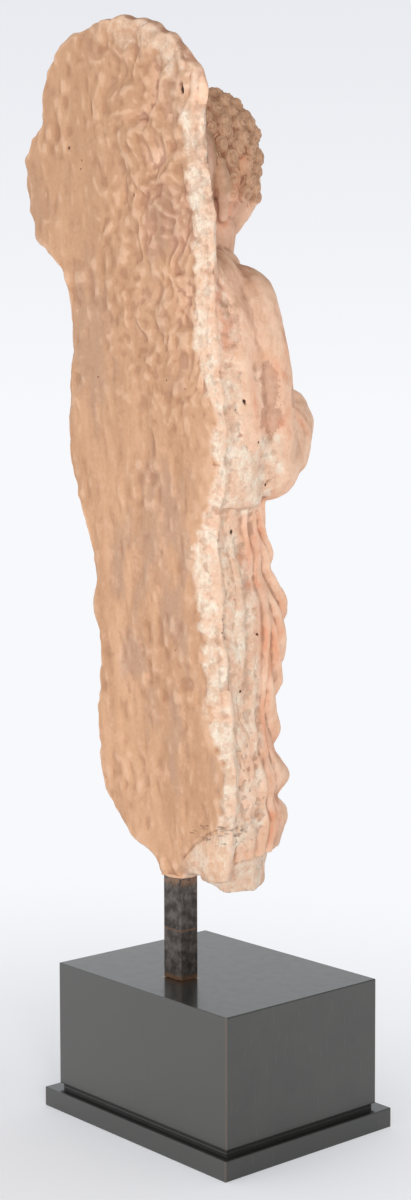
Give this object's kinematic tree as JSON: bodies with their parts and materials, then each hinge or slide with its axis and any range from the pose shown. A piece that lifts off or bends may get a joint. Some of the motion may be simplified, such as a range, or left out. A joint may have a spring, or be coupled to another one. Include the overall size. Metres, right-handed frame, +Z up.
{
  "type": "terracotta buddha statue",
  "caption": "Standing terracotta Buddha in high relief on a flat slab with a halo, broken below the hem, held by a steel post above a rectangular metal base.",
  "frame": {"origin": "centre of the base plate's underside", "axes": "+Z up, the figure faces -Y, its own right side is -X"},
  "size_m": [0.2834, 0.2085, 0.9958],
  "materials": {
    "statue": "matte, unglazed, weathered",
    "post": "dark patina with worn edges and rust",
    "base_box": "dark patina, waxed satin",
    "base_plate": "dark patina, waxed satin"
  },
  "bodies": {
    "root": {"statue": "statue", "post": "post", "base_box": "base_box", "base_plate": "base_plate"}
  },
  "joints": []
}
